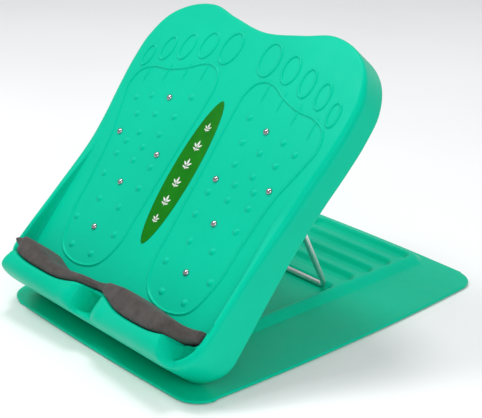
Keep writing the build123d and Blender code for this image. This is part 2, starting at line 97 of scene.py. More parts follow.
BUMPS = [(60.5, (54.0, 85.0)), (86.5, (39.0, 100.0)), (112.0, (53.0, 84.0)), (136.5, (42.0, 97.0)),
         (159.5, (42.5, 69.0, 96.0)), (175.0, (67.0, 92.5)), (187.5, (82.0,)), (192.5, (54.5,)),
         (204.0, (99.5,)), (210.0, (75.0,)), (214.0, (49.0,)), (219.5, (113.0,)), (226.5, (94.0,)),
         (238.0, (41.5,))]
BEADS = [(69.0, 85.0), (69.0, 135.0), (43.0, 173.0), (108.0, 181.0), (69.0, 230.5)]
LEAF_LOW, LEAF_HIGH, LEAF_HALF = 89.5, 245.5, 15.0
RAIL_TOP, RAIL_END, RAIL_RUN = 18.5, 165.0, 155.0      # side rail: height, where it ends, length of slope
LIP_SWELL, LIP_BACK, LIP_FOOT = 17.0, 36.0, 62.0       # heel cups: run of the front, crest's end, foot
CUP_END = 112.0                                        # the cups' outer end, from the middle
POCKET_DEPTH, DISH_DEPTH = 11.5, 8.0                   # hollow between the cups, hollows beyond them
FACE_THICK, SIDE_WALL = 3.5, 3.0
HEEL_ROUND_TOP, HEEL_ROUND, HEEL_SHIFT_MAX, HEEL_RELIEF = -23.0, 8.0, 4.0, 1.6
RIB_LOW, RIB_HIGH, RIB_HALF, RIB_MARGIN = -14.0, -3.0, 1.0, 2.5
CHEEK_STARTS, CHEEK_THICK = (-110.0, -94.5, 90.0, 105.5), 4.5
EYE_RADIUS, ROD_HOLE = 6.5, 2.56                       # round ends and bores of cheeks and lugs
WIRE_RADIUS, WIRE_BEND = 2.75, 6.5
LEG_X, BEND_X, WIRE_END_X = 59.0, 67.0, 82.0           # bail: legs, start of the turned ends, their ends
BAR_Y, BAR_GAP = 53.6, 0.15                            # crossbar's place and its gap to the recess floor


# ------------------------------------------------------------------ small geometry helpers
def board(u, v, w):
    """A point of the board's flat frame (mm) in the row frame (m)."""
    y = FACE_Y + SHIFT + v * math.cos(TILT) - w * math.sin(TILT)
    z = FACE_Z + v * math.sin(TILT) + w * math.cos(TILT)
    return (u * MM, y * MM, z * MM)


def world(x, y, z):
    """A point of the base's own frame (mm) in the row frame (m)."""
    return (x * MM, (y + SHIFT) * MM, z * MM)


def smooth(points, count, closed=False, start=None, end=None):
    """Points evenly spaced along a smooth curve through the given ones."""
    pts = [np.array(p, float) for p in points]
    n = len(pts)
    tangents = []
    for i in range(n):
        a = pts[(i - 1) % n] if closed or i > 0 else pts[i]
        b = pts[(i + 1) % n] if closed or i < n - 1 else pts[i]
        la, lb = np.linalg.norm(pts[i] - a), np.linalg.norm(b - pts[i])
        if la < 1e-9 or lb < 1e-9:
            tangents.append((b - a) / max(la + lb, 1e-9))
        else:
            tangents.append(((pts[i] - a) / la * lb + (b - pts[i]) / lb * la) / (la + lb))
    if start is not None:
        tangents[0] = np.array(start, float)
    if end is not None:
        tangents[-1] = np.array(end, float)
    dense = []
    for i in range(n if closed else n - 1):
        p, q = pts[i], pts[(i + 1) % n]
        length = np.linalg.norm(q - p)
        m0, m1 = tangents[i] * length, tangents[(i + 1) % n] * length
        for t in np.linspace(0, 1, 24, endpoint=False):
            dense.append((2 * t**3 - 3 * t**2 + 1) * p + (t**3 - 2 * t**2 + t) * m0
                         + (-2 * t**3 + 3 * t**2) * q + (t**3 - t**2) * m1)
    dense.append(pts[0] if closed else pts[-1])
    dense = np.array(dense)
    run = np.concatenate([[0], np.cumsum(np.linalg.norm(np.diff(dense, axis=0), axis=1))])
    at = np.linspace(0, run[-1], count, endpoint=not closed)
    return np.stack([np.interp(at, run, dense[:, k]) for k in range(dense.shape[1])], axis=1)


def table_of(points):
    """A smooth y(x) through the given points, even in x."""
    curve = smooth(points, 400, start=(1, 0))
    return lambda x: float(np.interp(abs(x), curve[:, 0], curve[:, 1]))


def ramp(x, low, high):
    t = min(max((x - low) / (high - low), 0.0), 1.0)
    return t * t * (3 - 2 * t)


class Skin:
    """Vertices and faces gathered into one mesh."""

    def __init__(self):
        self.verts, self.faces = [], []

    def ring(self, points):
        start = len(self.verts)
        self.verts.extend(points)
        return list(range(start, start + len(points)))

    def band(self, a, b, closed=True, flip=False):
        n = len(a)
        for i in range(n if closed else n - 1):
            j = (i + 1) % n
            quad = (a[i], a[j], b[j], b[i])
            self.faces.append(tuple(reversed(quad)) if flip else quad)

    def cap(self, ring, centre, flip=False):
        c = len(self.verts)
        self.verts.append(centre)
        n = len(ring)
        for i in range(n):
            tri = (ring[i], ring[(i + 1) % n], c)
            self.faces.append(tuple(reversed(tri)) if flip else tri)

    def fill(self, ring, flat, lift, step, flip=False):
        """Fills a closed ring, given its flat outline, with an even net of points lifted by a function."""
        outline = [Vector(p) for p in flat]
        xs, ys = [p.x for p in outline], [p.y for p in outline]
        poly = np.array([(p.x, p.y) for p in outline])
        inner = []
        for iy, y in enumerate(np.arange(min(ys) + step / 2, max(ys), step)):
            off = step / 2 if iy % 2 else 0.0
            for x in np.arange(min(xs) + off, max(xs), step):
                if inside(poly, x, y, step * 0.55):
                    inner.append(Vector((x, y)))
        count = len(outline)
        edges = [(i, (i + 1) % count) for i in range(count)]
        out = delaunay_2d_cdt(outline + inner, edges, [], 1, 1e-7)
        new = out[0][count:]
        base = len(self.verts)
        self.verts.extend(lift(p.x, p.y) for p in new)
        index = list(ring) + list(range(base, base + len(new)))
        for f in out[2]:
            tri = tuple(index[i] for i in f)
            self.faces.append(tuple(reversed(tri)) if flip else tri)

    def object(self, name, material, shade=True):
        mesh = bpy.data.meshes.new(name)
        mesh.from_pydata([tuple(v) for v in self.verts], [], self.faces)
        mesh.validate()
        mesh.update()
        if shade:
            mesh.polygons.foreach_set("use_smooth", [True] * len(mesh.polygons))
        obj = bpy.data.objects.new(name, mesh)
        bpy.context.scene.collection.objects.link(obj)
        mesh.materials.append(material)
        return obj


def inside(poly, x, y, margin):
    """True if a point lies inside a closed outline and no nearer to it than the margin."""
    a, b = poly, np.roll(poly, -1, axis=0)
    d = b - a
    t = np.clip(((x - a[:, 0]) * d[:, 0] + (y - a[:, 1]) * d[:, 1]) / np.maximum((d**2).sum(1), 1e-12), 0, 1)
    near = np.hypot(a[:, 0] + d[:, 0] * t - x, a[:, 1] + d[:, 1] * t - y).min()
    if near < margin:
        return False
    cross = (a[:, 1] > y) != (b[:, 1] > y)
    with np.errstate(divide="ignore", invalid="ignore"):
        hit = a[:, 0] + (y - a[:, 1]) / (b[:, 1] - a[:, 1]) * d[:, 0]
    return bool((cross & (x < hit)).sum() % 2)


def normals_of(loop):
    """Inward unit normals of a closed counter-clockwise loop."""
    d = np.roll(loop, -1, axis=0) - np.roll(loop, 1, axis=0)
    d /= np.maximum(np.linalg.norm(d, axis=1), 1e-9)[:, None]
    return np.stack([-d[:, 1], d[:, 0]], axis=1)


def bevel(obj, width, segments=3, angle=35.0):
    mod = obj.modifiers.new("soft edges", "BEVEL")
    mod.width = width * MM
    mod.segments = segments
    mod.limit_method = "ANGLE"
    mod.angle_limit = math.radians(angle)
    mod.harden_normals = False
    return obj


# ------------------------------------------------------------------ materials
def principled(name):
    mat = bpy.data.materials.new(name)
    mat.use_nodes = True
    nodes, links = mat.node_tree.nodes, mat.node_tree.links
    return mat, nodes, links, nodes["Principled BSDF"]


def noise(nodes, links, scale, detail=3.0, rough=0.55, stretch=None):
    coord = nodes.new("ShaderNodeTexCoord")
    tex = nodes.new("ShaderNodeTexNoise")
    tex.inputs["Scale"].default_value = scale
    tex.inputs["Detail"].default_value = detail
    tex.inputs["Roughness"].default_value = rough
    if stretch:
        mapping = nodes.new("ShaderNodeMapping")
        mapping.inputs["Scale"].default_value = stretch
        links.new(coord.outputs["Object"], mapping.inputs["Vector"])
        links.new(mapping.outputs["Vector"], tex.inputs["Vector"])
    else:
        links.new(coord.outputs["Object"], tex.inputs["Vector"])
    return tex


def mapped(nodes, links, tex, low, high, fmin=0.3, fmax=0.7):
    rng = nodes.new("ShaderNodeMapRange")
    rng.inputs["From Min"].default_value = fmin
    rng.inputs["From Max"].default_value = fmax
    rng.inputs["To Min"].default_value = low
    rng.inputs["To Max"].default_value = high
    links.new(tex.outputs["Fac"], rng.inputs["Value"])
    return rng


def bumped(nodes, links, bsdf, layers):
    """Chains bump layers given as (texture, strength, distance in mm)."""
    last = None
    for tex, strength, distance in layers:
        node = nodes.new("ShaderNodeBump")
        node.inputs["Strength"].default_value = strength
        node.inputs["Distance"].default_value = distance * MM
        links.new(tex.outputs["Fac"], node.inputs["Height"])
        if last is not None:
            links.new(last.outputs["Normal"], node.inputs["Normal"])
        last = node
    links.new(last.outputs["Normal"], bsdf.inputs["Normal"])


def coloured(nodes, links, bsdf, tex, dark, light, fmin=0.3, fmax=0.7):
    mix = nodes.new("ShaderNodeMix")
    mix.data_type = "RGBA"
    mix.inputs["A"].default_value = (*dark, 1)
    mix.inputs["B"].default_value = (*light, 1)
    fac = mapped(nodes, links, tex, 0.0, 1.0, fmin, fmax)
    links.new(fac.outputs["Result"], mix.inputs["Factor"])
    links.new(mix.outputs["Result"], bsdf.inputs["Base Color"])


def moulded_plastic(name, dark, light, rough_low, rough_high, subsurface):
    mat, nodes, links, bsdf = principled(name)
    broad = noise(nodes, links, 9.0, 2.0)
    grain = noise(nodes, links, 900.0, 2.0, 0.6)
    flow = noise(nodes, links, 60.0, 3.0, 0.5)
    coloured(nodes, links, bsdf, broad, dark, light)
    rough = mapped(nodes, links, flow, rough_low, rough_high)
    links.new(rough.outputs["Result"], bsdf.inputs["Roughness"])
    bumped(nodes, links, bsdf, [(grain, 0.10, 0.06), (flow, 0.05, 0.25)])
    bsdf.inputs["Specular IOR Level"].default_value = 0.17
    bsdf.inputs["Specular Tint"].default_value = (0.12, 1.0, 0.86, 1)
    bsdf.inputs["Subsurface Weight"].default_value = subsurface
    bsdf.inputs["Subsurface Radius"].default_value = (0.002, 0.006, 0.004)
    bsdf.inputs["Subsurface Scale"].default_value = 0.5
    return mat


GREEN = moulded_plastic("green_plastic", (0.0004, 0.505, 0.305), (0.0008, 0.550, 0.336),
                        0.30, 0.42, 0.08)
GREEN_BASE = moulded_plastic("green_plastic_base", (0.0004, 0.490, 0.292), (0.0008, 0.535, 0.324),
                             0.30, 0.42, 0.03)

mat, nodes, links, bsdf = principled("eva_foam")
cells = noise(nodes, links, 1400.0, 3.0, 0.7)
soft = noise(nodes, links, 120.0, 3.0, 0.6)
coloured(nodes, links, bsdf, soft, (0.050, 0.044, 0.041), (0.080, 0.071, 0.066))
links.new(mapped(nodes, links, cells, 0.72, 0.92).outputs["Result"], bsdf.inputs["Roughness"])
bumped(nodes, links, bsdf, [(soft, 0.25, 0.5), (cells, 0.5, 0.25)])
bsdf.inputs["Sheen Weight"].default_value = 0.08
bsdf.inputs["Sheen Roughness"].default_value = 0.6
bsdf.inputs["Specular IOR Level"].default_value = 0.25
FOAM = mat

mat, nodes, links, bsdf = principled("leaf_film")
film = noise(nodes, links, 45.0, 4.0, 0.6)
fine = noise(nodes, links, 700.0, 2.0, 0.6)
coloured(nodes, links, bsdf, film, (0.001, 0.145, 0.0005), (0.003, 0.200, 0.001))
links.new(mapped(nodes, links, fine, 0.28, 0.42).outputs["Result"], bsdf.inputs["Roughness"])
bumped(nodes, links, bsdf, [(fine, 0.08, 0.05)])
bsdf.inputs["Specular IOR Level"].default_value = 0.12
LEAF = mat

mat, nodes, links, bsdf = principled("white_print")
ink = noise(nodes, links, 500.0, 3.0, 0.7)
coloured(nodes, links, bsdf, ink, (0.62, 0.64, 0.60), (0.90, 0.92, 0.88))
links.new(mapped(nodes, links, ink, 0.45, 0.60).outputs["Result"], bsdf.inputs["Roughness"])
bumped(nodes, links, bsdf, [(ink, 0.10, 0.05)])
PRINT = mat


def steel(name, dark, light, rough_low, rough_high, stretch, bump):
    mat, nodes, links, bsdf = principled(name)
    broad = noise(nodes, links, 30.0, 3.0)
    drawn = noise(nodes, links, 260.0, 3.0, 0.6, stretch)
    coloured(nodes, links, bsdf, broad, dark, light)
    links.new(mapped(nodes, links, drawn, rough_low, rough_high).outputs["Result"], bsdf.inputs["Roughness"])
    bumped(nodes, links, bsdf, [(drawn, bump, 0.06)])
    bsdf.inputs["Metallic"].default_value = 1.0
    return mat


BEAD_STEEL = steel("bead_steel", (0.34, 0.34, 0.35), (0.46, 0.46, 0.47), 0.10, 0.18, (1, 1, 1), 0.03)
WIRE = steel("wire_chrome", (0.66, 0.63, 0.64), (0.84, 0.81, 0.82), 0.30, 0.45, (1, 0.1, 0.1), 0.10)
ZINC = steel("zinc_steel", (0.46, 0.46, 0.47), (0.62, 0.61, 0.60), 0.30, 0.48, (0.2, 1, 1), 0.15)

mat, nodes, links, bsdf = principled("foot_rubber")
wear = noise(nodes, links, 160.0, 4.0, 0.7)
dust = noise(nodes, links, 1200.0, 2.0, 0.6)
coloured(nodes, links, bsdf, wear, (0.020, 0.020, 0.021), (0.050, 0.049, 0.048))
links.new(mapped(nodes, links, wear, 0.62, 0.85).outputs["Result"], bsdf.inputs["Roughness"])
bumped(nodes, links, bsdf, [(dust, 0.3, 0.1)])
RUBBER = mat

# ------------------------------------------------------------------ foot board: outline and inner edge
wall_at = table_of(LIP_WALL)
wave_at = table_of(LIP_WAVE)
N_HEEL, N_CORNER, N_SIDE = 64, 40, 300

start_x = HEEL_HALF - HEEL_CORNER
heel = [(start_x * i / N_HEEL, HEEL_EDGE) for i in range(N_HEEL)]
corner = [(start_x + HEEL_CORNER * math.sin(t), HEEL_EDGE + HEEL_CORNER * (1 - math.cos(t)))
          for t in np.linspace(0, math.pi / 2, N_CORNER, endpoint=False)]
side = [tuple(p) for p in smooth(SIDE, N_SIDE, start=(0, 1), end=(-1, 0))]
outer_half = np.array(heel + corner + side)

inner_heel = [(CUP_END * i / N_HEEL, wall_at(CUP_END * i / N_HEEL)) for i in range(N_HEEL)]
corner_points = [(CUP_END, wall_at(CUP_END)), (124.0, 30.8), (132.5, 32.2), (136.6, 34.2), (137.5, 37.5)]
inner_corner = smooth(corner_points, N_CORNER + 1)
inner_corner = [tuple(p) for p in inner_corner[:-1]]
# width of the rim's band along the side, as (v, width)
BAND = [(37.0, 7.0), (60.0, 6.6), (100.0, 7.4), (130.0, 10.0), (150.0, 12.0), (180.0, 13.0),
        (230.0, 11.0), (340.0, 10.0)]
side_loop = np.array(side)
tangent = np.gradient(side_loop, axis=0)
tangent /= np.linalg.norm(tangent, axis=1)[:, None]
side_normal = np.stack([-tangent[:, 1], tangent[:, 0]], axis=1)
widths = np.interp(side_loop[:, 1], [b[0] for b in BAND], [b[1] for b in BAND])
inner_side = side_loop + side_normal * widths[:, None]
inner_side[-1, 0] = 0.0
inner_half = np.array(inner_heel + inner_corner + [tuple(p) for p in inner_side])


def whole(half):
    """A half loop from the heel's middle to the toes' middle, completed by its mirror image."""
    back = half[1:-1][::-1].copy()
    back[:, 0] *= -1
    return np.concatenate([half, back])


OUTER = whole(outer_half)
INNER = whole(inner_half)
COUNT = len(OUTER)
SPAN = np.linalg.norm(INNER - OUTER, axis=1)
DIRECTION = (INNER - OUTER) / SPAN[:, None]
OUT_NORMAL = normals_of(OUTER)
IN_NORMAL = normals_of(INNER)
HEELWARD = np.clip(OUT_NORMAL[:, 1], 0, 1)


def crown(u, v):
    """Height of the rim, heel cups and their hollows above the face."""
    a = abs(u)
    x = (RAIL_END - v) / RAIL_RUN * RAIL_TOP
    rail = min(0.5 * (x + math.sqrt(x * x + 1.4)) - 0.05, RAIL_TOP) if x > -12.0 else 0.0
    swell = min(max((v - HEEL_EDGE) / LIP_SWELL, 0.0), 1.0)
    swell = math.sqrt(1.0 - (1.0 - swell) ** 2) if v < LIP_BACK else ramp(v, LIP_FOOT, LIP_BACK)
    end = CUP_END + 0.4 * (30.0 - min(max(v, 8.0), LIP_BACK))
    cups = max(wave_at(a) - RAIL_TOP, 0.0) * swell * ramp(a, end + 4.5, end)
    pocket = POCKET_DEPTH * ramp(a, 16.0, 10.5) * ramp(v, 7.5, 12.5) * ramp(v, 31.5, 26.5)
    radial = HEEL_CORNER - math.hypot(max(a - start_x, 0.0), max(HEEL_EDGE + HEEL_CORNER - v, 0.0))
    dish = DISH_DEPTH * ramp(a, end + 0.5, end + 5.0) * ramp(radial, 5.0, 10.0) * ramp(v, 34.0, 28.0)
    return rail + cups - pocket - dish


skin = Skin()
OUTER_ROUND = np.interp(OUTER[:, 1], [3.5, 10.0, 35.0, 60.0, 110.0, 150.0, 200.0, 290.0, 312.0],
                        [7.0, 8.0, 6.0, 3.8, 4.2, 5.5, 6.5, 6.0, 3.5])
OUTER_ROUND = np.minimum(OUTER_ROUND, SPAN * 0.62)
tops = np.array([crown(*p) for p in OUTER])


def heel_shift(w, inward):
    """How far the lower heel edge is rounded back at a depth, less on the wall's inner side."""
    drop = HEEL_ROUND_TOP - w
    shift = 0.0
    if drop > 0:
        shift = min(HEEL_ROUND - math.sqrt(max(HEEL_ROUND ** 2 - drop * drop, 0.0)), HEEL_SHIFT_MAX)
    return shift if inward < SIDE_WALL / 2 else max(shift - HEEL_RELIEF, 0.0)


def wall_ring(inward, level):
    """A ring of the side wall, this far in from the outline, at the height that level gives per point."""
    points = []
    for i in range(COUNT):
        p = OUTER[i] + OUT_NORMAL[i] * inward
        w = level(i)
        points.append(board(p[0], p[1] + heel_shift(w, inward) * HEELWARD[i], w))
    return skin.ring(points)


# the wall's inner side going down, its lower edge, its outer side going up, then the rounded rim
rings = [wall_ring(SIDE_WALL, lambda i: -FACE_THICK)]
for level in (-6.0, -12.0, -18.0, -23.0, -26.0, -28.5, -30.2):
    rings.append(wall_ring(SIDE_WALL, lambda i, level=level: level))
rings.append(wall_ring(2.75, lambda i: -30.8))
rings.append(wall_ring(2.3, lambda i: -DEPTH))
rings.append(wall_ring(0.8, lambda i: -DEPTH))
rings.append(wall_ring(0.25, lambda i: -30.75))
for level in (-30.2, -28.5, -26.0, -23.0, -19.0):
    rings.append(wall_ring(0.0, lambda i, level=level: level))
for share in (0.25, 0.5, 0.75, 0.92, 1.0):
    rings.append(wall_ring(0.0, lambda i, share=share: -19.0 + share * (tops[i] - OUTER_ROUND[i] + 19.0)))
for turn in (15, 30, 45, 60, 75, 90):
    t = math.radians(turn)
    points = []
    for i in range(COUNT):
        r = OUTER_ROUND[i]
        d = r * (1 - math.cos(t))
        p = OUTER[i] + DIRECTION[i] * d
        points.append(board(p[0], p[1], crown(*p) - r * (1 - math.sin(t))))
    rings.append(skin.ring(points))
for share in (0.06, 0.12, 0.19, 0.26, 0.34, 0.42, 0.5, 0.58, 0.66, 0.74, 0.82, 0.89, 0.95, 1.0):
    points = []
    for i in range(COUNT):
        r = OUTER_ROUND[i]
        d = r + (SPAN[i] - 2.6 - r) * share
        p = OUTER[i] + DIRECTION[i] * d
        points.append(board(p[0], p[1], crown(*p)))
    rings.append(skin.ring(points))
# the rim's inner side as (distance past the inner edge, share of the rim's height)
INNER_WALL = ((-1.8, 0.985), (-1.1, 0.955), (-0.5, 0.90), (-0.1, 0.80), (0.15, 0.62), (0.35, 0.42),
              (0.6, 0.22), (0.95, 0.10), (1.5, 0.03), (2.3, 0.006), (3.4, 0.0))
for away, share in INNER_WALL:
    points = []
    for i in range(COUNT):
        edge = INNER[i]
        p = edge + (IN_NORMAL[i] if away > 0 else DIRECTION[i]) * away
        points.append(board(p[0], p[1], crown(*edge) * share))
    rings.append(skin.ring(points))
for a, b in zip(rings, rings[1:]):
    skin.band(a, b)
flat = INNER + IN_NORMAL * INNER_WALL[-1][0]
skin.fill(rings[-1], flat, lambda x, y: board(x, y, 0.0), 5.0)
skin.fill(rings[0], OUTER + OUT_NORMAL * SIDE_WALL, lambda x, y: board(x, y, -FACE_THICK), 7.0, flip=True)


# ------------------------------------------------------------------ raised lines, toes and bumps on the face
# cross-section of a raised line as (distance across, height)
LINE = ((-1.85, -0.08), (-1.45, 0.12), (-1.0, 0.65), (-0.5, 1.12), (0.0, 1.25), (0.5, 1.12),
        (1.0, 0.65), (1.45, 0.12), (1.85, -0.08))


def turned(ex, ey, angle):
    """A flat offset turned by an angle."""
    return (ex * math.cos(angle) - ey * math.sin(angle), ex * math.sin(angle) + ey * math.cos(angle))


def circle(radius, count):
    """Offsets of evenly spaced points round a circle."""
    return [(radius * math.cos(t), radius * math.sin(t))
            for t in np.linspace(0, 2 * math.pi, count, endpoint=False)]


def raised_line(path, closed, scale=1.0):
    """Adds a raised line along a path on the face; an open one fades out at both ends."""
    path = np.array(path)
    if closed:
        normal = normals_of(path)
    else:
        t = np.gradient(path, axis=0)
        t /= np.linalg.norm(t, axis=1)[:, None]
        normal = np.stack([-t[:, 1], t[:, 0]], axis=1)
    lanes = []
    count = len(path)
    for across, height in LINE:
        points = []
        for i in range(count):
            fade = 1.0 if closed else min(1.0, 4.0 * i / count + 0.05, 4.0 * (count - 1 - i) / count + 0.05)
            p = path[i] + normal[i] * across * scale * (1.0 if closed else 0.6 + 0.4 * fade)
            points.append(board(p[0], p[1], height * scale * fade if height > 0 else height))
        lanes.append(skin.ring(points))
    for a, b in zip(lanes, lanes[1:]):
        skin.band(a, b, closed=closed)


# a bump as rings of (radius, height)
BUMP = ((4.2, -0.05), (3.7, 0.05), (3.2, 0.26), (2.7, 0.58), (2.1, 0.90), (1.4, 1.12), (0.7, 1.22))
BUMP_TOP = 1.26
for hand in (-1, 1):
    sole = smooth(SOLE, 360, closed=True)
    sole[:, 0] *= hand
    raised_line(sole if hand > 0 else sole[::-1], True)
    for x, y, rx, ry in TOES:
        turn = np.linspace(0, 2 * math.pi, 72, endpoint=False)
        lean = math.radians(6.0 * hand)
        ex, ey = rx * np.cos(turn), ry * np.sin(turn)
        across, along = turned(ex, ey, lean)
        raised_line(np.stack([hand * x + across, y + along], axis=1), True, 0.95)
    for x, y in STROKES:
        t = np.linspace(-11.5, 11.5, 24)
        raised_line(np.stack([hand * x + 0.02 * t * t * 0.1 * hand, y + t], axis=1)[::-1], False, 0.75)
    for y, row in BUMPS:
        for x in row:
            lanes = []
            for radius, height in BUMP:
                lanes.append(skin.ring([board(hand * x + ex, y + ey, height)
                                        for ex, ey in circle(radius, 24)]))
            for a, b in zip(lanes, lanes[1:]):
                skin.band(a, b)
            skin.cap(lanes[-1], board(hand * x, y, BUMP_TOP))
board_skin = skin.object("foot_board_shell", GREEN)
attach(board_skin, "board")
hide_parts("foot_board", "board_skirt", "foot_outline_left", "foot_outline_right",
            "bumps_left", "bumps_right")


# ------------------------------------------------------------------ underside: ribs, cheeks, blocks
def half_width(v, inward):
    """Half width of the board at a height, less a margin."""
    loop = outer_half[N_HEEL + N_CORNER:]
    k = int(np.argmax(loop[:, 1]))
    return float(np.interp(v, loop[:k, 1], loop[:k, 0])) - inward


def reach(x, inward):
    """Highest v of the board's outline at a distance from the middle, less a margin."""
    loop = outer_half[N_HEEL + N_CORNER:]
    k = int(np.argmin(np.abs(loop[:, 1] - 300.0)))
    top = loop[k:][::-1]
    return float(np.interp(abs(x), top[:, 0], top[:, 1])) - inward


def slab(skin_, place, x0, x1, y0, y1, z0, z1):
    """Adds a plain block between two limits on each axis."""
    c = [place(x, y, z) for z in (z0, z1) for x, y in ((x0, y0), (x1, y0), (x1, y1), (x0, y1))]
    k = skin_.ring(c)
    for f in ((3, 2, 1, 0), (4, 5, 6, 7), (0, 1, 5, 4), (1, 2, 6, 5), (2, 3, 7, 6), (3, 0, 4, 7)):
        skin_.faces.append(tuple(k[i] for i in f))


ribs = Skin()
for x in (-36.0, 36.0):
    slab(ribs, board, x - RIB_HALF, x + RIB_HALF, 21.0, reach(x, RIB_MARGIN), RIB_LOW, RIB_HIGH)
for y in (60.0, 105.0, 150.0, 195.0, 250.0, 290.0):
    w = half_width(y, RIB_MARGIN)
    slab(ribs, board, -w, w, y - RIB_HALF, y + RIB_HALF, RIB_LOW, RIB_HIGH)
rib_obj = bevel(ribs.object("board_rib_net", GREEN, shade=False), 0.45)
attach(rib_obj, "board")
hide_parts("board_ribs")


def plate_with_hole(skin_, place, outline, hole, x0, x1):
    """A flat plate across X with a round hole: outline points run round the hole at matching angles."""
    cy, cz, radius = hole
    count = 48
    poly = np.array(outline)
    rim_pts, hole_pts = [], []
    for t in np.linspace(0, 2 * math.pi, count, endpoint=False):
        d = np.array([math.cos(t), math.sin(t)])
        best = None
        for a, b in zip(poly, np.roll(poly, -1, axis=0)):
            m = np.array([[d[0], a[0] - b[0]], [d[1], a[1] - b[1]]])
            if abs(np.linalg.det(m)) < 1e-9:
                continue
            s, q = np.linalg.solve(m, a - np.array([cy, cz]))
            if s > 0 and -1e-9 <= q <= 1 + 1e-9 and (best is None or s > best):
                best = s
        rim_pts.append((cy + d[0] * best, cz + d[1] * best))
        hole_pts.append((cy + d[0] * radius, cz + d[1] * radius))
    loops = []
    for x, pts in ((x0, hole_pts), (x0, rim_pts), (x1, rim_pts), (x1, hole_pts)):
        loops.append(skin_.ring([place(x, p[0], p[1]) for p in pts]))
    for a, b in ((0, 1), (1, 2), (2, 3), (3, 0)):
        skin_.band(loops[a], loops[b])


cheeks = Skin()
hv, hw = HINGE_IN_BOARD
cheek_shape = [(6.2, -3.0), (26.0, -3.0), (hv + EYE_RADIUS, hw)]
cheek_shape += [(hv + EYE_RADIUS * math.cos(t), hw + EYE_RADIUS * math.sin(t))
                for t in np.linspace(0, -math.pi, 16)[1:-1]]
cheek_shape += [(hv - EYE_RADIUS, hw), (6.2, hw + 4)]
for x0 in CHEEK_STARTS:
    plate_with_hole(cheeks, board, cheek_shape, (hv, hw, ROD_HOLE), x0, x0 + CHEEK_THICK)
cheek_obj = bevel(cheeks.object("hinge_cheek_set", GREEN, shade=False), 0.4)
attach(cheek_obj, "board")
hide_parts("hinge_cheeks")

blocks = Skin()
pv, pw = PIVOT
block_low = pw + 0.06
block_half = 13.0
for hand in (-1, 1):
    x0, x1 = sorted((hand * 67.0, hand * 80.0))
    outline = [(pv - block_half, RIB_HIGH), (pv - block_half, block_low)]
    outline += [(pv - 2.84 * math.cos(t), block_low + 2.8 * math.sin(t)) for t in np.linspace(0, math.pi, 18)]
    outline += [(pv + block_half, block_low), (pv + block_half, RIB_HIGH)]
    a = blocks.ring([board(x0, p[0], p[1]) for p in outline])
    b = blocks.ring([board(x1, p[0], p[1]) for p in outline])
    blocks.band(a, b)
    blocks.faces.append(tuple(reversed(a)))
    blocks.faces.append(tuple(b))
block_obj = bevel(blocks.object("bail_block_pair", GREEN, shade=False), 0.35)
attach(block_obj, "board")
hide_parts("bail_blocks")

# ------------------------------------------------------------------ heel pad
pad_wave = table_of(PAD_WAVE)
pad_front = smooth(PAD_FRONT, 400)
pad = Skin()
stations = np.linspace(-136.8, 136.8, 240)
low = 0.35
wall_gap = 0.45
loops = []
for u in stations:
    back = wall_at(u) + wall_gap
    front = float(np.interp(u, pad_front[:, 0], pad_front[:, 1]))
    top = pad_wave(u) + 0.2 * math.sin(u * 0.21) + 0.1 * math.sin(u * 0.53 + 1.0)
    edge = min(1.0, (137.4 - abs(u)) / 1.5 + 0.82)
    pts = [(back + 0.6, low), (front - 0.6, low), (front, low + 0.8)]
    pts += [(front, 0.4 * top), (front - 0.15, 0.7 * top), (front - 0.4, top - 2.8)]
    pts += [(front - 1.0, top - 1.4), (front - 2.1, top - 0.5), (front - 3.6, top - 0.1)]
    pts += [((back + front) / 2, top + 0.2), (back + 3.2, top), (back + 1.5, top - 0.4)]
    pts += [(back + 0.4, top - 1.5), (back, top - 3.2), (back, low + 0.8)]
    mid_v, mid_w = (back + front) / 2, (low + top) / 2
    lift = 0.5 + 0.5 * edge
    loops.append(pad.ring([board(u, mid_v + (v - mid_v) * edge, mid_w + (w - mid_w) * lift) for v, w in pts]))
for a, b in zip(loops, loops[1:]):
    pad.band(a, b)
pad.faces.append(tuple(reversed(loops[0])))
pad.faces.append(tuple(loops[-1]))
pad_obj = pad.object("heel_pad_foam", FOAM)
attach(pad_obj, "board")
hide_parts("heel_pad")

# ------------------------------------------------------------------ leaf label with a printed sprig
leaf = Skin()
mid_v = (LEAF_LOW + LEAF_HIGH) / 2
half_len = (LEAF_HIGH - LEAF_LOW) / 2 - 1.0
bow = LEAF_HALF + 0.3
edge_pts = []
for hand in (1, -1):
    for t in np.linspace(-1, 1, 70, endpoint=False):
        lean = math.sin(t * math.pi / 2)
        edge_pts.append((hand * bow * (1.0 - lean * lean) ** 0.56, mid_v + lean * half_len * hand))
edge_pts = np.array(edge_pts)
n_edge = normals_of(edge_pts)
n_edge[0], n_edge[70] = (0, 1), (0, -1)
levels = [(0.0, -0.28), (0.0, 0.14), (0.12, 0.24), (0.45, 0.27)]
loops = []
for inset, height in levels:
    loops.append(leaf.ring([board(x, y, height) for x, y in edge_pts + n_edge * inset]))
for a, b in zip(loops, loops[1:]):
    leaf.band(a, b)
leaf.fill(loops[-1], edge_pts + n_edge * 0.45, lambda x, y: board(x, y, 0.27), 3.0)
leaf_obj = leaf.object("leaf_label_film", LEAF)
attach(leaf_obj, "board")
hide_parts("leaf_label")

sprig = Skin()


def petal(cx, cy, length, width, angle, h=0.34):
    """Adds one small raised leaf of the printed sprig."""
    pts = []
    for t in np.linspace(0, 2 * math.pi, 22, endpoint=False):
        a, b = length / 2 * math.cos(t), width / 2 * math.sin(t) * (1 - 0.35 * math.cos(t))
        across, along = turned(a, b, angle)
        pts.append((cx + across, cy + along))
    low = sprig.ring([board(x, y, 0.20) for x, y in pts])
    top = sprig.ring([board(x, y, h) for x, y in pts])
    sprig.band(low, top)
    sprig.cap(top, board(cx, cy, h + 0.03))


